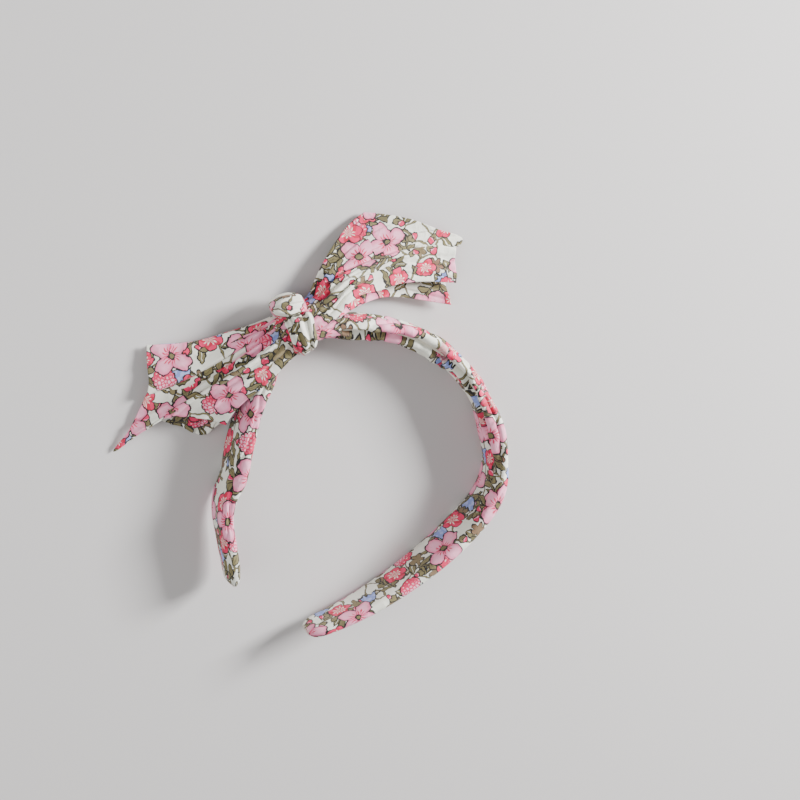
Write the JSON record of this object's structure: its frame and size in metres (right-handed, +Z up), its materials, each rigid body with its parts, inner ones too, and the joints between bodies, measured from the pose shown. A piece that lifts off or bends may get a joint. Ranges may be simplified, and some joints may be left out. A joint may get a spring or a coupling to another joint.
{
  "type": "knotted headband",
  "caption": "Rigid hoop headband covered in gathered floral cotton, with a strip knotted round one shoulder and its fanned, pointed tails.",
  "frame": {"origin": "under the middle of the crown, on the plane that the band lies on when it is laid on its side", "axes": "+Z up from that plane, along the band's width; +Y out through the crown, away from the head; +X towards the right leg"},
  "size_m": [0.1816, 0.193, 0.0261],
  "materials": {
    "printed_cotton": "matte printed cotton lawn",
    "wadding": "soft white polyester wadding",
    "core_plastic": "moulded springy plastic strip",
    "thread": "cotton sewing thread"
  },
  "bodies": {
    "left_side": {"core_left": "core_plastic", "wadding_left": "wadding", "sleeve_left": "printed_cotton", "tip_stitches_left": "thread", "knot_wrap": "printed_cotton", "knot_crossing": "printed_cotton", "knot_loop": "printed_cotton", "knot_tack_stitches": "thread"},
    "right_side": {"core_right": "core_plastic", "wadding_right": "wadding", "sleeve_right": "printed_cotton", "tip_stitches_right": "thread"},
    "upper_tail": {"upper_tail_face": "printed_cotton", "upper_tail_backing": "printed_cotton"},
    "lower_tail": {"lower_tail_face": "printed_cotton", "lower_tail_backing": "printed_cotton"}
  },
  "joints": [
    {"name": "hoop_flex", "type": "hinge", "parent": "left_side", "child": "right_side", "pos_m": [0.002, 0.0042, 0.0105], "axis": [0, 0, 1], "range_deg": [0, 20], "stiffness_Nm_per_rad": 0.75},
    {"name": "upper_tail_lift", "type": "hinge", "parent": "left_side", "child": "upper_tail", "pos_m": [-0.05957, -0.01548, 0.012], "axis": [0.7986, -0.6018, 0], "range_deg": [0, 60]},
    {"name": "lower_tail_lift", "type": "hinge", "parent": "left_side", "child": "lower_tail", "pos_m": [-0.07146, -0.03156, 0.012], "axis": [-0.891, 0.454, 0], "range_deg": [0, 60]}
  ]
}
